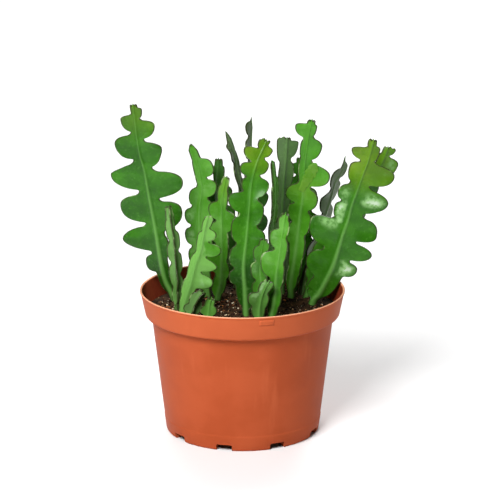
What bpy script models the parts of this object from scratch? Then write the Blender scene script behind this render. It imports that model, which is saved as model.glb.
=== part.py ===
"""Potted orchid cactus: a plastic nursery pot filled with soil, with a stand of flat notched stems.

All lengths in the constants are millimetres; the scene is in metres. The pot axis is +Z, its foot is
at Z = 0, and the plant is seen from the front along +Y.
"""

import bisect
import math
from typing import NamedTuple

import bmesh
import bpy
from mathutils import Matrix, Vector, noise

MM = 0.001
SEAM_WELD = 0.00001

# Pot, a 6 inch nursery pot with a deep stacking collar.
POT_SEGMENTS = 48
POT_OUTSIDE = (
    (0.0, 0.0),
    (59.5, 0.0),
    (60.3, 0.6),
    (62.0, 11.4),
    (61.8, 12.6),
    (71.0, 91.8),
    (71.5, 92.7),
    (75.0, 93.4),
    (75.9, 94.2),
    (76.2, 95.6),
    (79.4, 111.2),
    (80.0, 111.7),
    (80.0, 112.6),
    (79.6, 113.0),
)
POT_INSIDE = (
    (79.1, 113.0),
    (78.6, 112.6),
    (78.0, 111.0),
    (74.9, 96.4),
    (74.2, 95.2),
    (70.6, 94.6),
    (69.6, 93.6),
    (69.3, 91.8),
    (59.2, 5.0),
    (57.4, 2.8),
    (0.0, 2.6),
)
NOTCH_COUNT = 9
NOTCH_FIRST_DEG = -13.5
NOTCH_WIDTH = 12.5
NOTCH_HEIGHT = 5.0
NOTCH_INNER_RADIUS = 47.0
NOTCH_OUTER_RADIUS = 66.0
NOTCH_BELOW = 4.0
TAB_SIZE = (11.0, 1.6, 4.4)
TAB_AZIMUTH_DEG = 13.6
TAB_HEIGHT = 108.2
TAB_RADIUS = 78.5
COLLAR_TILT_DEG = 11.6

# Soil, 0.3 clear of the pot all round, with a raised underside over the notches.
SOIL_SEGMENTS = 36
SOIL_UNDERSIDE = (
    (0.0, 2.95),
    (45.5, 2.95),
    (46.3, 5.6),
    (58.8, 5.7),
)
SOIL_SIDE = (
    (69.0, 91.8),
    (69.2, 93.8),
    (70.4, 95.0),
    (73.9, 95.6),
)
SOIL_TOP_RADII = (74.5, 66.0, 57.0, 48.0, 39.0, 30.0, 20.0, 10.0)
SOIL_LEVEL = 96.5
SOIL_RELIEF = 1.9
SOIL_LUMP = 11.0
SOIL_CLOD = 5.2
SOIL_FLAT_POWER = 6
SOIL_SEED = 31.7

# Stems.
ROOT_DEPTH = 34.0
ROOT_REACH = 3.4
ROOT_RIB = 2.7
ROOT_UPRIGHT = 0.65
HOLE_RADIUS = 4.6
HOLE_SIDES = 6
ROOT_BEND = -4.0
HOLE_BOTTOM_GAP = 0.4
HOLE_ABOVE = 8.0
STALK = 4.0
RIB_LOW = 1.9
RIB_HIGH = 0.9
RIB_TAPER_END = 24.0
EDGE_HALF = 0.5
TIP_REACH = 2.3
LOBE_ROUND = 2.2
NOTCH_FLAT = 0.22
FIRST_NOTCH_BELOW = 7.5
FIRST_NOTCH_LOWEST = 5.5
NECK_AT_TIP = 3.2
NOTCH_OF_LOBE = 0.8
NOTCH_SHARE = 0.36
LAST_NOTCH_ROOM = 5.0
WAVE = 2.6
WAVE_LENGTH = 46.0
WAVE_REACH = 25.0
MERGE_STATIONS = 4.0
POINTS_PER_WING = 3
EDGE_TO_VALLEY = 1
PATH_STEPS = 24
TANGENT_REACH = 3


class Stem(NamedTuple):
    """A stem: its path from the soil up, the way its broad side faces, and its lobes.

    path holds points (x, y, z). turn holds the azimuth of the broad side at the soil and at the tip, in
    degrees from the front towards +X. Each wing is (angle round the rib, lobes), with 0 to the right and
    90 to the front, and each lobe is (height along the stem, reach from the rib).
    """

    path: tuple
    turn: tuple
    neck: float
    wings: tuple


STEMS = {
    "left_tall": Stem(
        path=(
            (-54, 20, 97), (-62, 19, 118), (-68, 17, 156), (-72, 15, 180), (-76, 13, 205),
            (-80, 12, 221), (-84, 9, 258),
        ),
        turn=(-22, -8),
        neck=6.2,
        wings=(
            (185, ((32, 15), (55, 28), (80, 28), (110, 28), (132, 20), (152, 12), (162, 3.0))),
            (-5, ((44, 9), (75, 24), (98, 29), (126, 18), (146, 15), (159, 6.5))),
        ),
    ),
    "left_front_thin": Stem(
        path=(
            (-50, -4, 97), (-51, -4, 117), (-52, -4, 135), (-54, -4, 157), (-56, -3, 169),
            (-57, -3, 181),
        ),
        turn=(0, 20),
        neck=3.6,
        wings=(
            (200, ((10, 5), (30, 6), (48, 6), (65, 5))),
            (-20, ((20, 6), (39, 6.5), (57, 6), (73, 4))),
            (90, ((8, 5), (25, 6), (44, 6), (61, 5))),
        ),
    ),
    "leaning_notched": Stem(
        path=(
            (-28, 36, 97), (-32, 34, 118), (-34, 32, 144), (-34, 31, 168), (-32, 30, 186),
            (-35, 29, 205), (-41, 28, 223),
        ),
        turn=(-16, -8),
        neck=6.5,
        wings=(
            (172, ((18, 9), (35, 10), (52, 12), (68, 12), (83, 10), (105, 4.5))),
            (8, ((27, 11), (48, 12), (76, 12), (93, 13), (105, 13))),
        ),
    ),
    "dark_behind_left": Stem(
        path=((-18, 50, 97), (-17, 49, 122), (-19, 47, 152), (-20, 45, 177), (-19, 43, 208)),
        turn=(-20, -10),
        neck=8.0,
        wings=(
            (188, ((38, 11), (63, 11), (82, 8), (101, 4.0))),
            (-8, ((24, 14), (46, 15), (66, 14), (83, 12), (101, 5.5))),
        ),
    ),
    "light_front_left": Stem(
        path=(
            (-47, -20, 97), (-40, -19, 121), (-36, -18, 137), (-32, -17, 148), (-29, -16, 164),
            (-26, -15, 176),
        ),
        turn=(-20, -10),
        neck=5.0,
        wings=(
            (192, ((22, 7.0), (42, 6.0), (64, 5.0), (75, 3.0))),
            (-12, ((30, 17), (45, 17), (56, 16), (67, 10), (78, 5.0))),
        ),
    ),
    "leafy_centre_left": Stem(
        path=(
            (-20, 22, 97), (-17, 19, 114), (-16, 15, 148), (-16, 13, 170), (-15, 11, 185),
            (-12, 10, 201),
        ),
        turn=(-4, -18),
        neck=5.0,
        wings=(
            (171, ((10, 7.0), (40, 15), (61, 12), (78, 11), (93, 5.0))),
            (9, ((26, 7.0), (47, 6.0), (72, 12), (86, 5.0))),
        ),
    ),
    "thin_back_left": Stem(
        path=(
            (-5, 58, 97), (-3, 56, 146), (-2, 55, 179), (-5, 54, 197), (-8, 53, 212),
            (-14, 52, 228),
        ),
        turn=(76, 60),
        neck=4.0,
        wings=(
            (172, ((24, 8), (48, 8), (72, 7), (96, 6), (117, 8.5))),
            (8, ((12, 8), (36, 8), (60, 8), (84, 6), (103, 5))),
        ),
    ),
    "thin_back_centre": Stem(
        path=((9, 60, 97), (7, 57, 170), (6, 55, 211), (7, 54, 239)),
        turn=(80, 72),
        neck=4.0,
        wings=(
            (187, ((26, 12), (50, 12), (74, 12), (98, 11), (118, 10), (137, 9))),
            (-7, ((14, 10), (38, 12), (62, 12), (86, 11), (108, 9), (128, 5))),
        ),
    ),
    "centre_tall": Stem(
        path=(
            (3, -20, 97), (2, -19, 117), (1, -17, 136), (3, -14, 156), (5, -9, 178), (7, -4, 198),
            (11, -1, 213), (19, 4, 231),
        ),
        turn=(-14, 12),
        neck=7.5,
        wings=(
            (
                173,
                (
                    (31, 12), (45, 12), (69, 13), (91, 17), (103, 8.0), (113, 12), (126, 14),
                    (135, 6.0),
                ),
            ),
            (7, ((22, 10), (43, 15), (61, 15), (82, 12), (103, 14), (119, 10), (132, 8), (139, 3.5))),
        ),
    ),
    "dark_centre": Stem(
        path=(
            (31, 42, 97), (31, 43, 116), (31, 41, 158), (32, 40, 185), (34, 39, 208),
            (35, 38, 226),
        ),
        turn=(28, 6),
        neck=7.0,
        wings=(
            (188, ((26, 10), (52, 7.0), (73, 5.0), (92, 5.0), (125, 8.0))),
            (-8, ((29, 10), (54, 8.0), (78, 7.0), (100, 8), (124, 10))),
        ),
    ),
    "right_centre_tall": Stem(
        path=(
            (39, 32, 97), (39, 33, 109), (42, 32, 131), (45, 30, 159), (47, 27, 177),
            (48, 25, 194), (49, 23, 210), (51, 21, 227), (54, 19, 244),
        ),
        turn=(-26, -6),
        neck=6.4,
        wings=(
            (
                172,
                (
                    (15, 5.0), (36, 5.5), (53, 11), (73, 11), (86, 14), (110, 5.0), (125, 5.5),
                    (141, 12),
                ),
            ),
            (8, ((23, 7.0), (41, 8.0), (65, 10), (84, 13), (104, 22), (128, 12), (143, 5.5))),
        ),
    ),
    "small_centre": Stem(
        path=((15, -26, 97), (15, -26, 121), (14, -25, 135), (15, -24, 149), (17, -23, 160)),
        turn=(-18, -12),
        neck=4.6,
        wings=(
            (171, ((24, 8.0), (39, 8), (52, 7.0))),
            (9, ((30, 6.0), (45, 7.5), (58, 6.0))),
        ),
    ),
    "light_front_right": Stem(
        path=(
            (22, -36, 97), (25, -36, 116), (26, -35, 134), (28, -34, 147), (30, -33, 162),
            (33, -31, 182),
        ),
        turn=(-20, -4),
        neck=4.8,
        wings=(
            (170, ((23, 6.5), (48, 14), (68, 10), (80, 5.0))),
            (10, ((19, 6.0), (38, 6.5), (59, 6.0), (76, 5.0))),
        ),
    ),
    "small_silver_front": Stem(
        path=((12, -44, 97), (13, -44, 112), (16, -44, 123), (21, -43, 132)),
        turn=(14, 6),
        neck=6.6,
        wings=(
            (168, ((21, 11), (31, 5.5))),
            (12, ((20, 6.5), (35, 5.0))),
        ),
    ),
    "thin_back_right": Stem(
        path=(
            (47, 42, 97), (53, 45, 124), (68, 52, 167), (73, 53, 185), (79, 54, 195),
            (82, 55, 207),
        ),
        turn=(66, 60),
        neck=3.6,
        wings=(
            (180, ((36, 9), (56, 12), (78, 12), (100, 9))),
            (0, ((46, 11), (67, 12), (89, 11), (109, 6))),
        ),
    ),
    "right_tall": Stem(
        path=(
            (55, 12, 97), (61, 12, 106), (71, 12, 128), (78, 10, 153), (82, 10, 165), (85, 9, 178),
            (89, 8, 190), (93, 8, 202), (97, 7, 214), (101, 6, 231),
        ),
        turn=(-14, 10),
        neck=10.5,
        wings=(
            (186, ((11, 12), (33, 22), (65, 28), (83, 13), (95, 14), (116, 12), (132, 15), (140, 4.0))),
            (-6, ((36, 20), (51, 27), (68, 27), (95, 28), (117, 26), (134, 8))),
        ),
    ),
    "right_behind": Stem(
        path=(
            (51, 32, 97), (63, 33, 122), (81, 34, 155), (97, 32, 184), (108, 31, 204),
            (114, 30, 220),
        ),
        turn=(12, 8),
        neck=5.5,
        wings=(
            (188, ((20, 10), (40, 14), (62, 13), (84, 9), (106, 7), (128, 5))),
            (-8, ((32, 9), (52, 15), (76, 12), (98, 10), (126, 14), (137, 8))),
        ),
    ),
    "stub_striped": Stem(
        path=((-40, -33, 97), (-35, -33, 113), (-29, -32, 120)),
        turn=(0, 20),
        neck=5.2,
        wings=(
            (200, ((8, 7.5), (18, 6))),
            (-20, ((11, 7),)),
            (90, ((8, 5), (18, 4))),
        ),
    ),
    "stub_rounded": Stem(
        path=((-26, -38, 97), (-25, -38, 110), (-23, -38, 117)),
        turn=(-20, 0),
        neck=4.6,
        wings=(
            (168, ((8, 7),)),
            (12, ((10, 7),)),
        ),
    ),
    "back_middle": Stem(
        path=((0, 33, 97), (3, 33, 135), (7, 32, 168), (12, 31, 194)),
        turn=(30, 20),
        neck=8.0,
        wings=(
            (172, ((29, 11), (51, 7.5), (73, 8))),
            (8, ((22, 15), (43, 14), (62, 15), (83, 12))),
        ),
    ),
    "back_right": Stem(
        path=((41, 50, 97), (46, 57, 119), (48, 61, 158), (48, 64, 185), (46, 66, 204)),
        turn=(-24, -12),
        neck=8.0,
        wings=(
            (188, ((24, 14), (44, 17), (66, 18), (88, 15), (102, 9))),
            (-8, ((37, 10), (57, 14), (77, 12), (96, 8))),
        ),
    ),
    "thin_centre": Stem(
        path=((22, 9, 97), (22, 8, 132), (23, 7, 162), (25, 6, 186), (23, 6, 214)),
        turn=(70, 60),
        neck=4.0,
        wings=(
            (172, ((20, 6), (42, 6), (64, 7), (86, 7))),
            (8, ((30, 6), (53, 6), (75, 7), (96, 6))),
        ),
    ),
}


def clear_scene():
    for obj in list(bpy.data.objects):
        bpy.data.objects.remove(obj, do_unlink=True)


def material(name, colour, roughness):
    made = bpy.data.materials.new(name)
    made.use_nodes = True
    shader = made.node_tree.nodes["Principled BSDF"]
    shader.inputs["Base Color"].default_value = (*colour, 1.0)
    shader.inputs["Roughness"].default_value = roughness
    shader.inputs["Metallic"].default_value = 0.0
    return made


def add_object(name, bm, finish, sharp_deg=None):
    """The bmesh as an object, in metres."""
    bmesh.ops.scale(bm, vec=Vector((MM, MM, MM)), verts=bm.verts)
    mesh = bpy.data.meshes.new(name)
    bm.to_mesh(mesh)
    bm.free()
    obj = bpy.data.objects.new(name, mesh)
    bpy.context.scene.collection.objects.link(obj)
    if finish is not None:
        mesh.materials.append(finish)
    if sharp_deg is not None:
        mesh.shade_smooth()
        mesh.set_sharp_from_angle(angle=math.radians(sharp_deg))
    return obj


def add_cutter(name, bm):
    cutter = add_object(name, bm, None)
    cutter.hide_render = True
    cutter.display_type = "WIRE"
    return cutter


def add_boolean(obj, other, operation):
    modifier = obj.modifiers.new(other.name, "BOOLEAN")
    modifier.operation = operation
    modifier.solver = "EXACT"
    modifier.object = other


def lathe(profile, segments):
    """A solid of revolution about Z from a profile of (radius, height) that starts and ends on the axis."""
    bm = bmesh.new()
    verts = [bm.verts.new((radius, 0.0, height)) for radius, height in profile]
    edges = [bm.edges.new(pair) for pair in zip(verts, verts[1:])]
    bmesh.ops.spin(
        bm,
        geom=verts + edges,
        cent=(0.0, 0.0, 0.0),
        axis=(0.0, 0.0, 1.0),
        angle=math.tau,
        steps=segments,
        use_merge=True,
    )
    bmesh.ops.remove_doubles(bm, verts=bm.verts, dist=SEAM_WELD)
    bmesh.ops.recalc_face_normals(bm, faces=bm.faces)
    return bm


def notch_cutter():
    """One box for each notch in the foot of the pot."""
    bm = bmesh.new()
    depth = NOTCH_OUTER_RADIUS - NOTCH_INNER_RADIUS
    height = NOTCH_HEIGHT + NOTCH_BELOW
    for index in range(NOTCH_COUNT):
        azimuth = math.radians(NOTCH_FIRST_DEG + index * 360.0 / NOTCH_COUNT)
        size = Matrix.Diagonal((NOTCH_WIDTH, depth, height, 1.0))
        middle = (NOTCH_INNER_RADIUS + NOTCH_OUTER_RADIUS) / 2.0
        shift = Matrix.Translation((0.0, -middle, height / 2.0 - NOTCH_BELOW))
        bmesh.ops.create_cube(bm, size=1.0, matrix=Matrix.Rotation(azimuth, 4, "Z") @ shift @ size)
    return add_cutter("cut_notches", bm)


def collar_tab():
    """The small plain tab that stands up a little from the collar."""
    bm = bmesh.new()
    bmesh.ops.create_cube(bm, size=1.0, matrix=Matrix.Diagonal((*TAB_SIZE, 1.0)))
    upright = [edge for edge in bm.edges if abs((edge.verts[0].co - edge.verts[1].co).y) > TAB_SIZE[1] / 2.0]
    bmesh.ops.bevel(bm, geom=upright, offset=0.8, segments=2, profile=0.5, affect="EDGES", material=-1)
    lean = Matrix.Rotation(math.radians(COLLAR_TILT_DEG), 4, "X")
    place = Matrix.Translation((0.0, -TAB_RADIUS, TAB_HEIGHT))
    turn = Matrix.Rotation(math.radians(TAB_AZIMUTH_DEG), 4, "Z")
    bmesh.ops.transform(bm, matrix=turn @ place @ lean, verts=bm.verts)
    return add_cutter("collar_tab", bm)


def build_pot():
    finish = material("terracotta_plastic", (0.56, 0.15, 0.07), 0.5)
    pot = add_object("pot", lathe(POT_OUTSIDE + POT_INSIDE, POT_SEGMENTS), finish, sharp_deg=35.0)
    add_boolean(pot, notch_cutter(), "DIFFERENCE")
    add_boolean(pot, collar_tab(), "UNION")


def soil_height(x, y):
    """Lumpy top of the soil, settled to its level at the wall."""
    flat = (math.hypot(x, y) / SOIL_TOP_RADII[0]) ** SOIL_FLAT_POWER
    lump = noise.noise(Vector((x / SOIL_LUMP, y / SOIL_LUMP, SOIL_SEED)))
    clod = noise.noise(Vector((x / SOIL_CLOD, y / SOIL_CLOD, SOIL_SEED)))
    return SOIL_LEVEL + SOIL_RELIEF * (lump + clod / 2.0) * max(0.0, 1.0 - flat)


def build_soil():
    finish = material("peat_soil", (0.035, 0.018, 0.010), 0.95)
    top = tuple((radius, SOIL_LEVEL) for radius in SOIL_TOP_RADII + (0.0,))
    bm = lathe(SOIL_UNDERSIDE + SOIL_SIDE + top, SOIL_SEGMENTS)
    for vert in bm.verts:
        if vert.co.z > SOIL_SIDE[-1][1] + SEAM_WELD:
            vert.co.z = soil_height(vert.co.x, vert.co.y)
    bmesh.ops.triangulate(bm, faces=bm.faces)
    soil = add_object("soil", bm, finish, sharp_deg=50.0)
    add_boolean(soil, root_holes(), "DIFFERENCE")


def path_points(stem):
    """Points along the stem, and the length from the soil to each; the root has negative lengths."""
    points = [Vector(point) for point in stem.path]
    start = (points[1] - points[0]).normalized()
    down = (start.lerp(Vector((0.0, 0.0, 1.0)), ROOT_UPRIGHT)).normalized()
    points = [points[0] - down * ROOT_DEPTH] + points
    guides = [2.0 * points[0] - points[1]] + points + [2.0 * points[-1] - points[-2]]
    line = []
    for before, here, there, after in zip(guides, guides[1:], guides[2:], guides[3:]):
        for step in range(PATH_STEPS):
            line.append(catmull(before, here, there, after, step / PATH_STEPS))
    line.append(points[-1].copy())
    lengths = [0.0]
    for a, b in zip(line, line[1:]):
        lengths.append(lengths[-1] + (b - a).length)
    ground = lengths[PATH_STEPS]
    return line, [length - ground for length in lengths]


def catmull(before, here, there, after, t):
    square = t * t
    cube = square * t
    return 0.5 * (
        2.0 * here
        + (there - before) * t
        + (2.0 * before - 5.0 * here + 4.0 * there - after) * square
        + (3.0 * here - before - 3.0 * there + after) * cube
    )


def frame_at(stem, line, lengths, at):
    """Point, tangent, direction of wing 0 (right) and of 90 (front) at a length along the stem."""
    last = len(line) - 1
    index = min(last, max(1, bisect.bisect_left(lengths, at)))
    share = (at - lengths[index - 1]) / (lengths[index] - lengths[index - 1])
    point = line[index - 1].lerp(line[index], share)
    ahead = min(last, index + TANGENT_REACH)
    tangent = (line[ahead] - line[max(0, index - 1 - TANGENT_REACH)]).normalized()
    turn = math.radians(blend(stem.turn[0], stem.turn[1], at / lengths[-1]))
    facing = Vector((math.sin(turn), -math.cos(turn), 0.0))
    right = tangent.cross(facing).normalized()
    return point, tangent, right, right.cross(tangent).normalized()


def blend(a, b, share):
    return a + (b - a) * min(1.0, max(0.0, share))


def knots_of(stem, lobes, total):
    """(length, reach) at each notch and lobe tip of one wing, from the soil to the tip of the stem."""
    knots = [(0.0, ROOT_REACH), (STALK, ROOT_REACH)]
    notch = max(FIRST_NOTCH_LOWEST, lobes[0][0] - FIRST_NOTCH_BELOW)
    for (height, reach), (following, _) in zip(lobes, lobes[1:] + ((total, TIP_REACH),)):
        knots.append((notch, notch_reach(stem, reach, notch, total)))
        knots.append((height, reach))
        notch = height + (following - height) * NOTCH_SHARE
    if total - lobes[-1][0] > LAST_NOTCH_ROOM:
        knots.append((notch, notch_reach(stem, lobes[-1][1], notch, total)))
    knots.append((total, TIP_REACH))
    return knots


def notch_reach(stem, reach, at, total):
    """Half width of the stem at a notch: narrower over the upper half, and always less than the lobe."""
    narrow = blend(stem.neck, NECK_AT_TIP, 2.0 * at / total - 1.0)
    return min(narrow, reach * NOTCH_OF_LOBE)


def snap(values):
    """Groups lengths that lie close together, and returns each length's common station."""
    station = {}
    group = []
    for value in sorted(set(values)):
        if group and value - group[0] > MERGE_STATIONS:
            station.update(dict.fromkeys(group, sum(group) / len(group)))
            group = []
        group.append(value)
    last = group[-1]
    station.update(dict.fromkeys(group, last))
    return station


def between(low, high):
    """Stations added between two neighbours, closest where a notch is steep."""
    gap = high - low
    if gap > 8.5:
        shares = (0.16, 0.4, 0.76)
    elif gap > 5.0:
        shares = (0.2, 0.6)
    elif gap > 3.5:
        shares = (0.5,)
    else:
        shares = ()
    return [low + gap * share for share in shares]


def reach_at(knots, at):
    """Reach of a wing: a lobe rises a little above its lower notch and rounds back to its upper one."""
    if at <= knots[0][0]:
        return knots[0][1]
    for (low, low_reach), (high, high_reach) in zip(knots, knots[1:]):
        if at <= high:
            share = (at - low) / (high - low)
            if high_reach < low_reach:
                share = 1.0 - share
            else:
                share = max(0.0, share - NOTCH_FLAT) / (1.0 - NOTCH_FLAT)
            arch = (1.0 - (1.0 - share) ** LOBE_ROUND) ** (1.0 / LOBE_ROUND)
            return min(low_reach, high_reach) + abs(high_reach - low_reach) * arch
    return knots[-1][1]


def rib_at(at, total):
    if at < RIB_TAPER_END:
        return blend(ROOT_RIB, RIB_LOW, at / RIB_TAPER_END)
    return blend(RIB_LOW, RIB_HIGH, (at - RIB_TAPER_END) / (total - RIB_TAPER_END))


def section(stem, line, lengths, wings, at):
    """The star shaped section at one station: two edge points a wing, and a valley after each wing."""
    point, tangent, right, front = frame_at(stem, line, lengths, at)
    rib = rib_at(at, lengths[-1])
    ring = []
    for index, (angle, knots) in enumerate(wings):
        following = wings[(index + 1) % len(wings)][0]
        valley = math.radians(angle + ((following - angle) % 360) / 2.0)
        turn = math.radians(angle)
        out = right * math.cos(turn) + front * math.sin(turn)
        across = front * math.cos(turn) - right * math.sin(turn)
        reach = reach_at(knots, at)
        bend = WAVE * math.sin(math.tau * at / WAVE_LENGTH + angle) * (reach / WAVE_REACH) ** 2
        edge = point + out * reach + across * bend
        ring.append(edge - across * EDGE_HALF)
        ring.append(edge + across * EDGE_HALF)
        ring.append(point + (right * math.cos(valley) + front * math.sin(valley)) * rib)
    return ring


def skin(rings):
    """A closed tube through the rings, rolled up from a grid and capped.

    Both sides of a wing are split alike, from the valley below to the edge above.
    """
    columns = len(rings[0])
    bm = bmesh.new()
    bmesh.ops.create_grid(bm, x_segments=columns, y_segments=len(rings) - 1, size=1.0)
    bm.verts.ensure_lookup_table()
    rows = [bm.verts[row * (columns + 1) : (row + 1) * (columns + 1)] for row in range(len(rings))]
    for row, ring in zip(rows, rings):
        for vert, place in zip(row, ring + ring[:1]):
            vert.co = place
    for low, high in zip(rows, rows[1:]):
        for column in range(columns):
            corners = (low[column], low[column + 1], high[column + 1], high[column])
            face = next(f for f in corners[0].link_faces if all(c in f.verts for c in corners))
            rising = column % POINTS_PER_WING == EDGE_TO_VALLEY
            start = 1 if rising else 0
            bmesh.utils.face_split(face, corners[start], corners[start + 2])
    bmesh.ops.remove_doubles(bm, verts=bm.verts, dist=SEAM_WELD)
    for row in (rows[0], rows[-1]):
        bmesh.ops.contextual_create(bm, geom=[vert for vert in row if vert.is_valid])
    bmesh.ops.triangulate(bm, faces=[face for face in bm.faces if len(face.verts) > 3])
    bmesh.ops.recalc_face_normals(bm, faces=bm.faces)
    return bm


def build_stem(name, stem, finish):
    line, lengths = path_points(stem)
    total = lengths[-1]
    order = sorted(stem.wings, key=lambda wing: wing[0] % 360)
    wings = [(angle, knots_of(stem, lobes, total)) for angle, lobes in order]
    station = snap([length for _, knots in wings for length, _ in knots])
    wings = [(angle, [(station[length], reach) for length, reach in knots]) for angle, knots in wings]
    keys = sorted(set(station.values()))
    stops = [-ROOT_DEPTH, ROOT_BEND]
    for low, high in zip(keys, keys[1:]):
        stops += [low] + between(low, high)
    stops.append(keys[-1])
    rings = [section(stem, line, lengths, wings, at) for at in stops]
    add_object(name, skin(rings), finish, sharp_deg=40.0)


def root_holes():
    """A plain round hole in the soil for the root of each stem."""
    bm = bmesh.new()
    for stem in STEMS.values():
        line, lengths = path_points(stem)
        rings = []
        for at in (-ROOT_DEPTH - HOLE_BOTTOM_GAP, ROOT_BEND, HOLE_ABOVE):
            point, tangent, right, front = frame_at(stem, line, lengths, at)
            ring = []
            for side in range(HOLE_SIDES):
                turn = math.tau * side / HOLE_SIDES
                ring.append(point + (right * math.cos(turn) + front * math.sin(turn)) * HOLE_RADIUS)
            rings.append(ring)
        tube = skin(rings)
        mesh = bpy.data.meshes.new("hole")
        tube.to_mesh(mesh)
        tube.free()
        bm.from_mesh(mesh)
        bpy.data.meshes.remove(mesh)
    return add_cutter("cut_root_holes", bm)


def main():
    clear_scene()
    bpy.context.scene.unit_settings.scale_length = 1.0
    build_pot()
    build_soil()
    green = material("stem_green", (0.075, 0.235, 0.035), 0.42)
    for name, stem in STEMS.items():
        build_stem(f"stem_{name}", stem, green)


main()
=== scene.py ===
# %% [markdown]
# # Potted orchid cactus
#
# A terracotta-coloured nursery pot, filled with peat, with a stand of flat green stems whose edges are
# cut into round lobes. The CAD part has the true sizes and the places of all the pieces. This script
# keeps those places and makes each piece again with a finer surface, then adds what the CAD leaves out:
# the pale midrib, the lobes' own curves, the crumbs of soil and the finish of every surface.
#
# All lengths in the constants are millimetres. The pot axis is +Z and the photo is taken along +Y.

import bisect
import math
import random
from typing import NamedTuple

import bmesh
import bpy
from mathutils import Matrix, Vector, noise


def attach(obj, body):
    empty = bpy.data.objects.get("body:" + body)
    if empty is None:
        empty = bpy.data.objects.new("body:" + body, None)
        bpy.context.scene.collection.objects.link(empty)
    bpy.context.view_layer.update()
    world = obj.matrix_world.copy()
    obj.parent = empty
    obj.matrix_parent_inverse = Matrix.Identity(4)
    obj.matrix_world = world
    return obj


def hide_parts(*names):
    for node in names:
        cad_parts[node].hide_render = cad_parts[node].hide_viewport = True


MM = 0.001
SEAM_WELD = 0.00001

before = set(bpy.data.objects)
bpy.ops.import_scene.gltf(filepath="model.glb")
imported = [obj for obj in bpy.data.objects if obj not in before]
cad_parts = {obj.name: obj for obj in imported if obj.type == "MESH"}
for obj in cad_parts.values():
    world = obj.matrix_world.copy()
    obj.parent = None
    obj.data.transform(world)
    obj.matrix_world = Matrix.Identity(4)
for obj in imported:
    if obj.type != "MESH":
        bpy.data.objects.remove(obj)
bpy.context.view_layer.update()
print("nodes of the part:", len(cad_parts))

# %% [markdown]
# ## Camera
#
# The photo is a straight product shot from a little above, taken from about one and a half metres with a
# long lens. The view stays level across the picture, so a single turn about X points the camera.

# %% Camera
CAMERA_PLACE = (0.00587, -1.5202, 0.5512)
CAMERA_PITCH_DEG = 75.0
LENS_MM = 145.8
SENSOR_MM = 36.0

camera_data = bpy.data.cameras.new("camera")
camera_data.lens = LENS_MM
camera_data.sensor_width = SENSOR_MM
camera = bpy.data.objects.new("camera", camera_data)
camera.location = CAMERA_PLACE
camera.rotation_euler = (math.radians(CAMERA_PITCH_DEG), 0.0, 0.0)
bpy.context.scene.collection.objects.link(camera)
bpy.context.scene.camera = camera
bpy.context.scene.view_settings.view_transform = "Standard"

# %% [markdown]
# ## Light and floor
#
# The plant stands on a white table in soft light. A large lamp at the upper left, close enough that the
# light falls off towards the foot, leaves the right side of the pot darker. A smaller one behind on the
# right gives the stems their sheen, and a third keeps the table behind white.

# %% Light and floor
WORLD_COLOUR = (1.0, 1.0, 1.0)
WORLD_STRENGTH = 0.06
FLOOR_COLOUR = (0.80, 0.80, 0.80)
FLOOR_PALER = (0.84, 0.84, 0.84)
FLOOR_SIZE = 12.0
PLANT_MIDDLE = (0.0, 0.0, 0.13)
FLOOR_BEHIND = (0.0, 2.6, 0.0)
# name: (place in metres, point it faces, size in metres, power in watts)
LAMPS = {
    "lamp_key": ((-0.38, -0.85, 1.00), PLANT_MIDDLE, 0.6, 26.0),
    "lamp_back": ((0.5, 1.2, 1.5), PLANT_MIDDLE, 0.7, 12.0),
    "lamp_floor": ((0.0, 2.6, 2.6), FLOOR_BEHIND, 2.5, 110.0),
}

for name, (place, aim, size, power) in LAMPS.items():
    lamp = bpy.data.lights.new(name, "AREA")
    lamp.size = size
    lamp.energy = power
    holder = bpy.data.objects.new(name, lamp)
    holder.location = place
    direction = Vector(aim) - Vector(place)
    holder.rotation_euler = direction.to_track_quat("-Z", "Y").to_euler()
    bpy.context.scene.collection.objects.link(holder)

world = bpy.data.worlds.new("studio")
bpy.context.scene.world = world
world.use_nodes = True
sky = world.node_tree.nodes["Background"]
sky.inputs["Color"].default_value = (*WORLD_COLOUR, 1.0)
sky.inputs["Strength"].default_value = WORLD_STRENGTH

# %% [markdown]
# ## Helpers
#
# Every new piece is shaped in millimetres with bmesh and becomes an object in metres at the origin. A
# surface of revolution is spun from a profile that starts and ends on the axis, so it is closed.

# %% Helpers
def add_object(name, bm, finish, sharp_deg=None):
    """The bmesh as an object, in metres."""
    bmesh.ops.scale(bm, vec=Vector((MM, MM, MM)), verts=bm.verts)
    mesh = bpy.data.meshes.new(name)
    bm.to_mesh(mesh)
    bm.free()
    mesh.shade_smooth()
    if sharp_deg is not None:
        mesh.set_sharp_from_angle(angle=math.radians(sharp_deg))
    mesh.materials.append(finish)
    obj = bpy.data.objects.new(name, mesh)
    bpy.context.scene.collection.objects.link(obj)
    return obj


def lathe(profile, segments):
    """A solid of revolution about Z from a profile of (radius, height) that starts and ends on the axis."""
    bm = bmesh.new()
    verts = [bm.verts.new((radius, 0.0, height)) for radius, height in profile]
    edges = [bm.edges.new(pair) for pair in zip(verts, verts[1:])]
    bmesh.ops.spin(
        bm,
        geom=verts + edges,
        cent=(0.0, 0.0, 0.0),
        axis=(0.0, 0.0, 1.0),
        angle=math.tau,
        steps=segments,
        use_merge=True,
    )
    bmesh.ops.remove_doubles(bm, verts=bm.verts, dist=SEAM_WELD)
    bmesh.ops.recalc_face_normals(bm, faces=bm.faces)
    return bm


def blend(a, b, share):
    return a + (b - a) * min(1.0, max(0.0, share))


def smooth(low, high, value):
    """0 below low, 1 above high, and an even curve between."""
    share = min(1.0, max(0.0, (value - low) / (high - low)))
    return share * share * (3.0 - 2.0 * share)


# %% [markdown]
# Materials are built from a few parts: a principled shader, patterns of noise in object coordinates, and
# coats of colour that let the ones below show through. Most helpers add one node and return its output.

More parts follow.
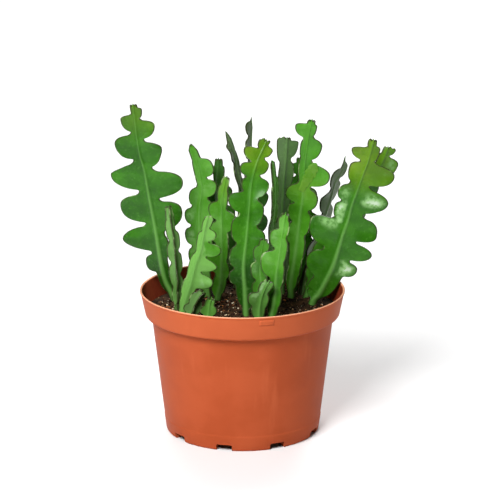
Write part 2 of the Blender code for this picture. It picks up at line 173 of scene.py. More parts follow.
# %% Material helpers
class Finish:
    """A principled material with helpers that add one node each. Its shine is the specular level."""

    def __init__(self, name, shine):
        self.material = bpy.data.materials.new(name)
        self.material.use_nodes = True
        self.nodes = self.material.node_tree.nodes
        self.links = self.material.node_tree.links
        self.shader = self.nodes["Principled BSDF"]
        self.place = self.nodes.new("ShaderNodeTexCoord").outputs["Object"]
        self.set("Specular IOR Level", shine)

    def put(self, socket, value):
        """Links an output to a socket, or sets the socket to a plain number, vector or colour."""
        if isinstance(value, bpy.types.NodeSocket):
            self.links.new(value, socket)
        elif isinstance(value, tuple):
            socket.default_value = (*value, 1.0)
        else:
            socket.default_value = value

    def add(self, kind, output, inputs, setting=None, choice=None):
        """Adds a node with one setting and some inputs, and returns one of its outputs."""
        node = self.nodes.new(f"ShaderNode{kind}")
        if setting:
            setattr(node, setting, choice)
        for key, value in inputs.items():
            self.put(node.inputs[key], value)
        return node.outputs[output]

    def attribute(self, name):
        return self.add("Attribute", "Fac", {}, "attribute_name", name)

    def stretched(self, scale):
        return self.add("Mapping", "Vector", {"Vector": self.place, "Scale": Vector(scale)})

    def axis(self, letter):
        """X, Y or Z of the point, in metres."""
        return self.add("SeparateXYZ", letter, {"Vector": self.place})

    def noise(self, scale, detail=3.0, roughness=0.55, place=None):
        inputs = {"Scale": scale, "Detail": detail, "Roughness": roughness, "Vector": place or self.place}
        return self.add("TexNoise", "Fac", inputs)

    def cells(self, scale):
        return self.add("TexVoronoi", "Distance", {"Scale": scale, "Vector": self.place})

    def ramp(self, value, low, high, low_out=0.0, high_out=1.0):
        inputs = {"From Min": low, "From Max": high, "To Min": low_out, "To Max": high_out, "Value": value}
        return self.add("MapRange", "Result", inputs, "interpolation_type", "SMOOTHSTEP")

    def maths(self, operation, a, b):
        return self.add("Math", "Value", {0: a, 1: b}, "operation", operation)

    def mix(self, share, a, b):
        return self.add("Mix", "Result", {"Factor": share, "A": a, "B": b}, "data_type", "RGBA")

    def bump(self, height, distance, strength=1.0):
        inputs = {"Strength": strength, "Distance": distance, "Height": height}
        self.set("Normal", self.add("Bump", "Normal", inputs))

    def set(self, name, value):
        """Sets or links one input of the shader."""
        self.put(self.shader.inputs[name], value)

    def paint(self, colour, coats):
        """Lays coats over a colour. Each is (how much of it shows, its colour) and covers those before."""
        for share, over in coats:
            colour = self.mix(share, colour, over)
        self.set("Base Color", colour)


# %% [markdown]
# The floor is a wide pale sheet. A faint mottle keeps it from being one flat colour.

# %% Floor
paper = Finish("pale_floor", shine=0.5)
paper.set("Roughness", 0.85)
paper.paint(FLOOR_COLOUR, [(paper.noise(6.0), FLOOR_PALER)])
sheet = bmesh.new()
bmesh.ops.create_grid(sheet, x_segments=1, y_segments=1, size=FLOOR_SIZE / MM / 2.0)
floor = add_object("floor", sheet, paper.material)

# %% [markdown]
# ## Pot
#
# A six inch nursery pot, thin polypropylene shot into a mould. The deep collar lets pots stack, the step
# under it is where the pot below would rest, and nine notches in the foot let water out. It is turned from
# one profile with small rounds at every corner, because moulded plastic has no sharp edges.

# %% Pot profile
POT_SEGMENTS = 216
POT_CORNERS = (
    (0.0, 0.0, 0.0), (59.5, 0.0, 0.5), (60.5, 0.9, 0.4), (62.0, 11.4, 0.5), (61.8, 12.6, 0.3),
    (71.1, 92.7, 0.5), (75.9, 93.7, 1.3), (79.4, 111.2, 0.3), (80.0, 111.7, 0.25), (80.0, 112.7, 0.3),
    (79.6, 113.0, 0.2), (79.1, 113.0, 0.2), (78.3, 112.4, 0.5), (74.7, 95.4, 0.9), (69.6, 94.5, 0.9),
    (59.2, 5.0, 1.4), (57.4, 2.6, 1.0), (0.0, 2.6, 0.0),
)
ROUND_STEPS = 4
ROUND_MOST = 0.45


def round_share(middle, other, size):
    """The share of the side from one corner to the next that a round of this size takes up."""
    return min(ROUND_MOST, size / (Vector(other[:2]) - middle).length)


def rounded(corners):
    """The corners of a profile, each replaced by a small curve that starts its round before the corner."""
    points = [Vector(corners[0][:2])]
    for before, here, after in zip(corners, corners[1:], corners[2:]):
        middle = Vector(here[:2])
        start = middle.lerp(Vector(before[:2]), round_share(middle, before, here[2]))
        end = middle.lerp(Vector(after[:2]), round_share(middle, after, here[2]))
        for step in range(ROUND_STEPS + 1):
            share = step / ROUND_STEPS
            points.append(start.lerp(middle, share).lerp(middle.lerp(end, share), share))
    points.append(Vector(corners[-1][:2]))
    return [tuple(point) for point in points]


pot_profile = rounded(POT_CORNERS)
print("points in the pot profile:", len(pot_profile))

# %% [markdown]
# The notches and the small plain tab are cut and added with solids of their own, the way the mould has
# inserts for them.

# %% Pot notches and tab
NOTCH_COUNT = 9
NOTCH_FIRST_DEG = -13.5
NOTCH_WIDTH = 12.5
NOTCH_HEIGHT = 5.0
NOTCH_RADII = (47.0, 66.0)
NOTCH_BELOW = 4.0
NOTCH_ROUND = 1.2
TAB_SIZE = (11.0, 1.6, 4.4)
TAB_ROUND = 0.7
TAB_AZIMUTH_DEG = 13.6
TAB_HEIGHT = 108.2
TAB_RADIUS = 78.5
COLLAR_TILT_DEG = 11.6
POT_SHARP_DEG = 38.0


def block(bm, size, matrix, edge_round):
    """A block with rounded edges, turned and placed by the matrix."""
    made = bmesh.ops.create_cube(bm, size=1.0, matrix=Matrix.Diagonal((*size, 1.0)))["verts"]
    edges = list({edge for vert in made for edge in vert.link_edges})
    done = bmesh.ops.bevel(
        bm, geom=edges, offset=edge_round, segments=3, profile=0.5, affect="EDGES", material=-1
    )
    verts = {vert for face in done["faces"] for vert in face.verts}
    bmesh.ops.transform(bm, matrix=matrix, verts=list(verts))


def notch_solids():
    bm = bmesh.new()
    middle = sum(NOTCH_RADII) / 2.0
    height = NOTCH_HEIGHT + NOTCH_BELOW
    for index in range(NOTCH_COUNT):
        azimuth = math.radians(NOTCH_FIRST_DEG + index * 360.0 / NOTCH_COUNT)
        shift = Matrix.Translation((0.0, -middle, height / 2.0 - NOTCH_BELOW))
        size = (NOTCH_WIDTH, NOTCH_RADII[1] - NOTCH_RADII[0], height)
        block(bm, size, Matrix.Rotation(azimuth, 4, "Z") @ shift, NOTCH_ROUND)
    return bm


def tab_solid():
    bm = bmesh.new()
    lean = Matrix.Rotation(math.radians(COLLAR_TILT_DEG), 4, "X")
    place = Matrix.Translation((0.0, -TAB_RADIUS, TAB_HEIGHT))
    turn = Matrix.Rotation(math.radians(TAB_AZIMUTH_DEG), 4, "Z")
    block(bm, TAB_SIZE, turn @ place @ lean, TAB_ROUND)
    return bm


def apply_boolean(obj, bm, operation):
    """Cuts or adds the solid in bm, then keeps only the result."""
    other = add_object("working_solid", bm, obj.data.materials[0])
    modifier = obj.modifiers.new(operation, "BOOLEAN")
    modifier.operation = operation
    modifier.solver = "EXACT"
    modifier.object = other
    graph = bpy.context.evaluated_depsgraph_get()
    made = bpy.data.meshes.new_from_object(obj.evaluated_get(graph))
    obj.modifiers.clear()
    obj.data = made
    bpy.data.objects.remove(other, do_unlink=True)


# %% [markdown]
# The plastic is evenly coloured, with the faint clouding and fine scuffs of a pot that has been handled.
# The collar is painted lighter, the lip carries a painted highlight line, and painted shade darkens the inner
# wall.

# %% Pot finish
POT_RED = (0.360, 0.065, 0.020)
POT_ORANGE = (0.405, 0.078, 0.026)
# Painted light: the collar is lighter than the wall below it.
POT_COLLAR_LIT = (0.500, 0.110, 0.040)
POT_SCUFF = (0.52, 0.12, 0.045)
# A painted highlight line along the rim.
POT_RIM_HIGHLIGHT = (0.74, 0.34, 0.20)
# Painted shade on the inner wall.
POT_INNER_SHADE = (0.17, 0.026, 0.010)
# Heights in metres over which the painted light on the collar, the painted shade inside and the painted rim
# highlight begin to show.
COLLAR_LIGHT_HEIGHTS = (0.0930, 0.0960)
INNER_SHADE_HEIGHTS = (0.0950, 0.0960)
RIM_HIGHLIGHT_HEIGHTS = (0.1121, 0.1128)
# Radius less this share of the height is one number all the way up the inner wall of the collar.
COLLAR_FLARE = 0.21
INNER_TO_OUTER_WALL = (0.0551, 0.0557)

terracotta = Finish("terracotta_plastic", shine=0.06)
cloud = terracotta.noise(28.0, 4.0)
flow = terracotta.noise(90.0, 3.0, place=terracotta.stretched((1.0, 1.0, 0.12)))
height = terracotta.axis("Z")
squares = [terracotta.maths("POWER", terracotta.axis(letter), 2.0) for letter in "XY"]
radius = terracotta.maths("SQRT", terracotta.maths("ADD", *squares), 0.0)
wall = terracotta.maths("SUBTRACT", radius, terracotta.maths("MULTIPLY", height, COLLAR_FLARE))
inner = terracotta.ramp(wall, *INNER_TO_OUTER_WALL, 1.0, 0.0)
# Painted shade over the inner wall of the collar.
inner_shade = terracotta.maths("MULTIPLY", inner, terracotta.ramp(height, *INNER_SHADE_HEIGHTS))
terracotta.paint(POT_RED, (
    (terracotta.ramp(cloud, 0.35, 0.65), POT_ORANGE),
    (terracotta.ramp(flow, 0.58, 0.80, 0.0, 0.35), POT_SCUFF),
    # Painted light on the collar.
    (terracotta.ramp(height, *COLLAR_LIGHT_HEIGHTS, 0.0, 0.55), POT_COLLAR_LIT),
    # Painted shade on the inner wall.
    (terracotta.maths("MULTIPLY", inner_shade, terracotta.ramp(cloud, 0.3, 0.6, 0.7, 1.0)), POT_INNER_SHADE),
    # Painted highlight along the rim.
    (terracotta.ramp(height, *RIM_HIGHLIGHT_HEIGHTS), POT_RIM_HIGHLIGHT),
))
terracotta.set("Roughness", terracotta.ramp(cloud, 0.3, 0.7, 0.44, 0.56))
terracotta.bump(terracotta.noise(900.0, 2.0), 0.00006, 0.5)

# %% [markdown]
# ### Pot in its place
#
# The finished pot takes the place of the plain pot of the part. It has the same outline, so nothing that
# stands in it moves.

# %% Pot
pot = add_object("pot_shell", lathe(pot_profile, POT_SEGMENTS), terracotta.material)
apply_boolean(pot, notch_solids(), "DIFFERENCE")
apply_boolean(pot, tab_solid(), "UNION")
pot.data.shade_smooth()
pot.data.set_sharp_from_angle(angle=math.radians(POT_SHARP_DEG))
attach(pot, "root")
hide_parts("pot")
print("pot faces:", len(pot.data.polygons))

# %% [markdown]
# ## Soil
#
# Peat mixed with perlite and bark fills the pot to about sixteen millimetres below its rim. It has settled
# against the wall, and the surface is lumpy at three sizes: low mounds, clods and crumbs.

# %% Soil
SOIL_SEGMENTS = 180
SOIL_LEVEL = 96.5
SOIL_WALL_RADIUS = 74.5
SOIL_UNDERSIDE = ((0.0, 2.95), (45.5, 2.95), (46.3, 5.6), (58.8, 5.7))
SOIL_SIDE = ((69.0, 91.8), (69.2, 93.8), (70.4, 95.0), (73.9, 95.6))
SOIL_RING_STEP = 1.1
SOIL_RELIEF = 1.9
SOIL_SIZES = (11.0, 5.2, 1.7)
SOIL_CRUMB_RELIEF = 0.9
SOIL_FLAT_POWER = 6
SOIL_SEED = 31.7


def soil_height(x, y):
    """Lumpy top of the soil, settled to its level at the wall."""
    flat = (math.hypot(x, y) / SOIL_WALL_RADIUS) ** SOIL_FLAT_POWER
    lump, clod, crumb = (noise.noise(Vector((x / size, y / size, SOIL_SEED))) for size in SOIL_SIZES)
    large = SOIL_RELIEF * (lump + clod / 2.0) * max(0.0, 1.0 - flat)
    return SOIL_LEVEL + large + SOIL_CRUMB_RELIEF * crumb * max(0.25, 1.0 - flat)


def soil_mesh():
    radii = [SOIL_WALL_RADIUS]
    while radii[-1] > SOIL_RING_STEP * 1.5:
        radii.append(radii[-1] - SOIL_RING_STEP)
    top = tuple((radius, SOIL_LEVEL) for radius in radii + [0.0])
    bm = lathe(SOIL_UNDERSIDE + SOIL_SIDE + top, SOIL_SEGMENTS)
    for vert in bm.verts:
        if vert.co.z > SOIL_SIDE[-1][1] + SEAM_WELD:
            vert.co.z = soil_height(vert.co.x, vert.co.y)
    return bm


PEAT_DARK = (0.010, 0.006, 0.003)
PEAT_BROWN = (0.055, 0.028, 0.012)
PEAT_FIBRE = (0.20, 0.10, 0.042)

peat = Finish("peat_soil", shine=0.1)
peat.set("Roughness", 0.95)
damp = peat.noise(70.0, 4.0)
fibre = peat.noise(500.0, 3.0, place=peat.stretched((1.0, 0.25, 1.0)))
peat.paint(PEAT_DARK, (
    (peat.ramp(damp, 0.35, 0.65), PEAT_BROWN),
    (peat.ramp(fibre, 0.60, 0.72), PEAT_FIBRE),
))
peat.bump(peat.cells(620.0), 0.0006)
soil = add_object("soil_fill", soil_mesh(), peat.material)
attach(soil, "root")
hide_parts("soil")
print("soil faces:", len(soil.data.polygons))

# %% [markdown]
# ### Soil bits
#
# Loose bits lie on the peat: dark crumbs, chips of bark, and the white perlite that keeps the mix open.
# Each is a small rough ball, squashed flatter for the chips. They lie thicker in some spots than in others.

# %% Soil bits
BITS_SEED = 12
BITS_RADIUS = 70.0
HEAPS = ((-50, 2), (-28, -30), (-18, 10), (-8, -38), (24, -42), (48, -20), (10, 38))
HEAP_SPREAD = 9.0
HEAP_SHARE = 0.6
BIT_ROUGH = (0.72, 1.15)
BIT_TILT = 0.6
BIT_SUNK = 0.25


class Bits(NamedTuple):
    """Loose bits of one kind: how many, smallest and largest size in mm, and width and height over length."""

    count: int
    small: float
    large: float
    wide: float
    flat: float


BITS = {
    "peat_crumbs": Bits(1800, 0.8, 3.4, 0.85, 0.7),
    "bark_chips": Bits(260, 1.5, 6.5, 0.5, 0.25),
    "perlite_grains": Bits(700, 0.5, 2.0, 0.9, 0.8),
}


def bits_mesh(bits, dice):
    """All bits of one kind. Each is shaped alone and then joined to the others."""
    bm = bmesh.new()
    bm.verts.layers.float.new("tone")
    holder = bpy.data.meshes.new("one_bit")
    for _ in range(bits.count):
        if dice.random() < HEAP_SHARE:
            heap = dice.choice(HEAPS)
            x, y = (dice.gauss(middle, HEAP_SPREAD) for middle in heap)
        else:
            distance = BITS_RADIUS * math.sqrt(dice.random())
            turn = dice.uniform(0.0, math.tau)
            x, y = distance * math.cos(turn), distance * math.sin(turn)
        if math.hypot(x, y) > BITS_RADIUS:
            continue
        size = blend(bits.small, bits.large, dice.random() ** 3)
        place = Matrix.Translation((x, y, soil_height(x, y) + size * bits.flat * BIT_SUNK))
        tilt = Matrix.Rotation(dice.uniform(-BIT_TILT, BIT_TILT), 4, "X")
        spin = Matrix.Rotation(dice.uniform(0.0, math.tau), 4, "Z")
        squash = Matrix.Diagonal((1.0, bits.wide, bits.flat, 1.0))
        shade = dice.random()
        bit = bmesh.new()
        tone = bit.verts.layers.float.new("tone")
        bmesh.ops.create_icosphere(bit, subdivisions=1, radius=size / 2.0)
        for vert in bit.verts:
            vert.co *= dice.uniform(*BIT_ROUGH)
            vert[tone] = shade
        bmesh.ops.transform(bit, matrix=place @ spin @ tilt @ squash, verts=bit.verts)
        bit.to_mesh(holder)
        bit.free()
        bm.from_mesh(holder)
    bpy.data.meshes.remove(holder)
    return bm


def bits_finish(name, low, high, roughness):
    """Each bit has its own shade between two colours, and a fine mottle."""
    finish = Finish(name, shine=0.15)
    finish.set("Roughness", roughness)
    mottle = finish.ramp(finish.noise(900.0), 0.3, 0.7, -0.3, 0.3)
    share = finish.maths("ADD", finish.attribute("tone"), mottle)
    finish.paint(low, [(finish.ramp(share, 0.0, 1.0), high)])
    finish.bump(finish.noise(2500.0), 0.0002)
    return finish.material


BIT_FINISHES = {
    "peat_crumbs": bits_finish("peat_crumb", (0.004, 0.002, 0.001), (0.050, 0.020, 0.009), 0.95),
    "bark_chips": bits_finish("bark_chip", (0.09, 0.025, 0.008), (0.42, 0.16, 0.05), 0.8),
    "perlite_grains": bits_finish("perlite", (0.36, 0.20, 0.08), (0.80, 0.70, 0.50), 0.85),
}
bits_dice = random.Random(BITS_SEED)
for name, bits in BITS.items():
    piece = add_object(name, bits_mesh(bits, bits_dice), BIT_FINISHES[name])
    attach(piece, "root")
    print(name, "faces:", len(piece.data.polygons))

# %% [markdown]
# ## Stems
#
# Each stem of this cactus is a flat green blade with a raised rib along its middle. Its edges are cut
# nearly to the rib by round notches, one after the other on the left and on the right, so the blade looks
# like a fish bone. A few young stems have a third, narrow wing towards the front.
#
# The table has the same numbers as the CAD part: the path of the rib, the way the broad side faces at the
# soil and at the tip, the half width in a notch, and for each wing the height and reach of every lobe.

# %% Stem table
class Stem(NamedTuple):
    """A stem: its path from the soil up, the way its broad side faces, and its lobes.

    path holds points (x, y, z). turn holds the azimuth of the broad side at the soil and at the tip, in
    degrees from the front towards +X. Each wing is (angle round the rib, lobes), with 0 to the right and
    90 to the front, and each lobe is (height along the stem, reach from the rib).
    """

    path: tuple
    turn: tuple
    neck: float
    wings: tuple


STEMS = {
    "left_tall": Stem(turn=(-22, -8), neck=6.2, path=(
        (-54, 20, 97), (-62, 19, 118), (-68, 17, 156), (-72, 15, 180), (-76, 13, 205), (-80, 12, 221),
        (-84, 9, 258),
    ), wings=(
        (185, ((32, 15), (55, 28), (80, 28), (110, 28), (132, 20), (152, 12), (162, 3.0))),
        (-5, ((44, 9), (75, 24), (98, 29), (126, 18), (146, 15), (159, 6.5))),
    )),
    "left_front_thin": Stem(turn=(0, 20), neck=3.6, path=(
        (-50, -4, 97), (-51, -4, 117), (-52, -4, 135), (-54, -4, 157), (-56, -3, 169), (-57, -3, 181),
    ), wings=(
        (200, ((10, 5), (30, 6), (48, 6), (65, 5))),
        (-20, ((20, 6), (39, 6.5), (57, 6), (73, 4))),
        (90, ((8, 5), (25, 6), (44, 6), (61, 5))),
    )),
    "leaning_notched": Stem(turn=(-16, -8), neck=6.5, path=(
        (-28, 36, 97), (-32, 34, 118), (-34, 32, 144), (-34, 31, 168), (-32, 30, 186), (-35, 29, 205),
        (-41, 28, 223),
    ), wings=(
        (172, ((18, 9), (35, 10), (52, 12), (68, 12), (83, 10), (105, 4.5))),
        (8, ((27, 11), (48, 12), (76, 12), (93, 13), (105, 13))),
    )),
    "dark_behind_left": Stem(turn=(-20, -10), neck=8.0, path=(
        (-18, 50, 97), (-17, 49, 122), (-19, 47, 152), (-20, 45, 177), (-19, 43, 208),
    ), wings=(
        (188, ((38, 11), (63, 11), (82, 8), (101, 4.0))),
        (-8, ((24, 14), (46, 15), (66, 14), (83, 12), (101, 5.5))),
    )),
    "light_front_left": Stem(turn=(-20, -10), neck=5.0, path=(
        (-47, -20, 97), (-40, -19, 121), (-36, -18, 137), (-32, -17, 148), (-29, -16, 164), (-26, -15, 176),
    ), wings=(
        (192, ((22, 7.0), (42, 6.0), (64, 5.0), (75, 3.0))),
        (-12, ((30, 17), (45, 17), (56, 16), (67, 10), (78, 5.0))),
    )),
    "leafy_centre_left": Stem(turn=(-4, -18), neck=5.0, path=(
        (-20, 22, 97), (-17, 19, 114), (-16, 15, 148), (-16, 13, 170), (-15, 11, 185), (-12, 10, 201),
    ), wings=(
        (171, ((10, 7.0), (40, 15), (61, 12), (78, 11), (93, 5.0))),
        (9, ((26, 7.0), (47, 6.0), (72, 12), (86, 5.0))),
    )),
    "thin_back_left": Stem(turn=(76, 60), neck=4.0, path=(
        (-5, 58, 97), (-3, 56, 146), (-2, 55, 179), (-5, 54, 197), (-8, 53, 212), (-14, 52, 228),
    ), wings=(
        (172, ((24, 8), (48, 8), (72, 7), (96, 6), (117, 8.5))),
        (8, ((12, 8), (36, 8), (60, 8), (84, 6), (103, 5))),
    )),
    "thin_back_centre": Stem(turn=(80, 72), neck=4.0, path=(
        (9, 60, 97), (7, 57, 170), (6, 55, 211), (7, 54, 239),
    ), wings=(
        (187, ((26, 12), (50, 12), (74, 12), (98, 11), (118, 10), (137, 9))),
        (-7, ((14, 10), (38, 12), (62, 12), (86, 11), (108, 9), (128, 5))),
    )),
    "centre_tall": Stem(turn=(-14, 12), neck=7.5, path=(
        (3, -20, 97), (2, -19, 117), (1, -17, 136), (3, -14, 156), (5, -9, 178), (7, -4, 198),
        (11, -1, 213), (19, 4, 231),
    ), wings=(
        (173, ((31, 12), (45, 12), (69, 13), (91, 17), (103, 8.0), (113, 12), (126, 14), (135, 6.0))),
        (7, ((22, 10), (43, 15), (61, 15), (82, 12), (103, 14), (119, 10), (132, 8), (139, 3.5))),
    )),
    "dark_centre": Stem(turn=(28, 6), neck=7.0, path=(
        (31, 42, 97), (31, 43, 116), (31, 41, 158), (32, 40, 185), (34, 39, 208), (35, 38, 226),
    ), wings=(
        (188, ((26, 10), (52, 7.0), (73, 5.0), (92, 5.0), (125, 8.0))),
        (-8, ((29, 10), (54, 8.0), (78, 7.0), (100, 8), (124, 10))),
    )),
    "right_centre_tall": Stem(turn=(-26, -6), neck=6.4, path=(
        (39, 32, 97), (39, 33, 109), (42, 32, 131), (45, 30, 159), (47, 27, 177), (48, 25, 194),
        (49, 23, 210), (51, 21, 227), (54, 19, 244),
    ), wings=(
        (172, ((15, 5.0), (36, 5.5), (53, 11), (73, 11), (86, 14), (110, 5.0), (125, 5.5), (141, 12))),
        (8, ((23, 7.0), (41, 8.0), (65, 10), (84, 13), (104, 22), (128, 12), (143, 5.5))),
    )),
    "small_centre": Stem(turn=(-18, -12), neck=4.6, path=(
        (15, -26, 97), (15, -26, 121), (14, -25, 135), (15, -24, 149), (17, -23, 160),
    ), wings=(
        (171, ((24, 8.0), (39, 8), (52, 7.0))), (9, ((30, 6.0), (45, 7.5), (58, 6.0))),
    )),
    "light_front_right": Stem(turn=(-20, -4), neck=4.8, path=(
        (22, -36, 97), (25, -36, 116), (26, -35, 134), (28, -34, 147), (30, -33, 162), (33, -31, 182),
    ), wings=(
        (170, ((23, 6.5), (48, 14), (68, 10), (80, 5.0))),
        (10, ((19, 6.0), (38, 6.5), (59, 6.0), (76, 5.0))),
    )),
    "small_silver_front": Stem(turn=(14, 6), neck=6.6, path=(
        (12, -44, 97), (13, -44, 112), (16, -44, 123), (21, -43, 132),
    ), wings=(
        (168, ((21, 11), (31, 5.5))), (12, ((20, 6.5), (35, 5.0))),
    )),
    "thin_back_right": Stem(turn=(66, 60), neck=3.6, path=(
        (47, 42, 97), (53, 45, 124), (68, 52, 167), (73, 53, 185), (79, 54, 195), (82, 55, 207),
    ), wings=(
        (180, ((36, 9), (56, 12), (78, 12), (100, 9))), (0, ((46, 11), (67, 12), (89, 11), (109, 6))),
    )),
    "right_tall": Stem(turn=(-14, 10), neck=10.5, path=(
        (55, 12, 97), (61, 12, 106), (71, 12, 128), (78, 10, 153), (82, 10, 165), (85, 9, 178),
        (89, 8, 190), (93, 8, 202), (97, 7, 214), (101, 6, 231),
    ), wings=(
        (186, ((11, 12), (33, 22), (65, 28), (83, 13), (95, 14), (116, 12), (132, 15), (140, 4.0))),
        (-6, ((36, 20), (51, 27), (68, 27), (95, 28), (117, 26), (134, 8))),
    )),
    "right_behind": Stem(turn=(12, 8), neck=5.5, path=(
        (51, 32, 97), (63, 33, 122), (81, 34, 155), (97, 32, 184), (108, 31, 204), (114, 30, 220),
    ), wings=(
        (188, ((20, 10), (40, 14), (62, 13), (84, 9), (106, 7), (128, 5))),
        (-8, ((32, 9), (52, 15), (76, 12), (98, 10), (126, 14), (137, 8))),
    )),
    "stub_striped": Stem(turn=(0, 20), neck=5.2, path=(
        (-40, -33, 97), (-35, -33, 113), (-29, -32, 120),
    ), wings=(
        (200, ((8, 7.5), (18, 6))), (-20, ((11, 7),)), (90, ((8, 5), (18, 4))),
    )),
    "stub_rounded": Stem(turn=(-20, 0), neck=4.6, path=(
        (-26, -38, 97), (-25, -38, 110), (-23, -38, 117),
    ), wings=(
        (168, ((8, 7),)), (12, ((10, 7),)),
    )),
    "back_middle": Stem(turn=(30, 20), neck=8.0, path=(
        (0, 33, 97), (3, 33, 135), (7, 32, 168), (12, 31, 194),
    ), wings=(
        (172, ((29, 11), (51, 7.5), (73, 8))), (8, ((22, 15), (43, 14), (62, 15), (83, 12))),
    )),
    "back_right": Stem(turn=(-24, -12), neck=8.0, path=(
        (41, 50, 97), (46, 57, 119), (48, 61, 158), (48, 64, 185), (46, 66, 204),
    ), wings=(
        (188, ((24, 14), (44, 17), (66, 18), (88, 15), (102, 9))),
        (-8, ((37, 10), (57, 14), (77, 12), (96, 8))),
    )),
    "thin_centre": Stem(turn=(70, 60), neck=4.0, path=(
        (22, 9, 97), (22, 8, 132), (23, 7, 162), (25, 6, 186), (23, 6, 214),
    ), wings=(
        (172, ((20, 6), (42, 6), (64, 7), (86, 7))), (8, ((30, 6), (53, 6), (75, 7), (96, 6))),
    )),
}

print("stems:", len(STEMS))

# %% [markdown]
# A smooth curve runs through the points of each path and carries on down into the soil as a root. At any
# length along it there is a point, the direction of growth and the directions of the wings.

# %% Stem paths
ROOT_DEPTH = 34.0
ROOT_UPRIGHT = 0.65
PATH_STEPS = 24
TANGENT_REACH = 3


def catmull(before, here, there, after, t):
    square = t * t
    cube = square * t
    return 0.5 * (
        2.0 * here
        + (there - before) * t
        + (2.0 * before - 5.0 * here + 4.0 * there - after) * square
        + (3.0 * here - before - 3.0 * there + after) * cube
    )


def path_points(stem):
    """Points along the stem, and the length from the soil to each; the root has negative lengths."""
    points = [Vector(point) for point in stem.path]
    start = (points[1] - points[0]).normalized()
    down = (start.lerp(Vector((0.0, 0.0, 1.0)), ROOT_UPRIGHT)).normalized()
    points = [points[0] - down * ROOT_DEPTH] + points
    guides = [2.0 * points[0] - points[1]] + points + [2.0 * points[-1] - points[-2]]
    line = []
    for before, here, there, after in zip(guides, guides[1:], guides[2:], guides[3:]):
        for step in range(PATH_STEPS):
            line.append(catmull(before, here, there, after, step / PATH_STEPS))
    line.append(points[-1].copy())
    lengths = [0.0]
    for a, b in zip(line, line[1:]):
        lengths.append(lengths[-1] + (b - a).length)
    ground = lengths[PATH_STEPS]
    return line, [length - ground for length in lengths]


def frame_at(stem, line, lengths, at):
    """Point, direction of wing 0 (right) and direction of 90 (front) at a length along the stem."""
    last = len(line) - 1
    index = min(last, max(1, bisect.bisect_left(lengths, at)))
    share = (at - lengths[index - 1]) / (lengths[index] - lengths[index - 1])
    point = line[index - 1].lerp(line[index], share)
    ahead = min(last, index + TANGENT_REACH)
    tangent = (line[ahead] - line[max(0, index - 1 - TANGENT_REACH)]).normalized()
    turn = math.radians(blend(stem.turn[0], stem.turn[1], at / lengths[-1]))
    facing = Vector((math.sin(turn), -math.cos(turn), 0.0))
    right = tangent.cross(facing).normalized()
    return point, right, right.cross(tangent).normalized()


# %% [markdown]
# ### Outline of a wing
#
# A lobe has a long, evenly rounded lower side and a short upper side that drops back almost square to the
# rib, where the notch holds the next growing point. The outline is drawn through one notch and one lobe
# after the other with an arch on either side.

# %% Wing outline
ROOT_REACH = 3.4
STALK = 4.0
TIP_REACH = 2.3
FIRST_NOTCH_BELOW = 7.5
FIRST_NOTCH_LOWEST = 5.5
NECK_AT_TIP = 3.2
NOTCH_OF_LOBE = 0.8
NOTCH_SHARE = 0.36
LAST_NOTCH_ROOM = 5.0
RISE_ROUND = 2.1
FALL_ROUND = 2.2
NOTCH_FLAT = 0.22
ARC_STEPS = 14
TIP_ROUND = 2.2
TIP_SHARES = (0.25, 0.5, 0.75, 0.92, 1.0)


def knots_of(stem, lobes, total):
    """(length, reach) at each notch and lobe tip of one wing, from the soil to the tip of the stem."""
    knots = [(0.0, ROOT_REACH), (STALK, ROOT_REACH)]
    notch = max(FIRST_NOTCH_LOWEST, lobes[0][0] - FIRST_NOTCH_BELOW)
    for (height, reach), (following, _) in zip(lobes, lobes[1:] + ((total, TIP_REACH),)):
        knots.append((notch, notch_reach(stem, reach, notch, total)))
        knots.append((height, reach))
        notch = height + (following - height) * NOTCH_SHARE
    if total - lobes[-1][0] > LAST_NOTCH_ROOM:
        knots.append((notch, notch_reach(stem, lobes[-1][1], notch, total)))
    knots.append((total, TIP_REACH))
    return knots


def notch_reach(stem, reach, at, total):
    """Half width of the stem at a notch: narrower over the upper half, and always less than the lobe."""
    narrow = blend(stem.neck, NECK_AT_TIP, 2.0 * at / total - 1.0)
    return min(narrow, reach * NOTCH_OF_LOBE)


def arch_points(low, high):
    """Points of the outline from one knot up to the next, without the last one."""
    (start, start_reach), (end, end_reach) = low, high
    rising = end_reach >= start_reach
    power = 2.0 / (RISE_ROUND if rising else FALL_ROUND)
    flat = NOTCH_FLAT if rising else 0.0
    points = []
    for step in range(ARC_STEPS):
        turn = math.pi / 2.0 * (step / ARC_STEPS if rising else 1.0 - step / ARC_STEPS)
        along = flat + (1.0 - flat) * (1.0 - math.cos(turn) ** power)
        share = along if rising else 1.0 - along
        arch = math.sin(turn) ** power
        reach = min(start_reach, end_reach) + abs(end_reach - start_reach) * arch
        points.append((start + (end - start) * share, reach))
    return points


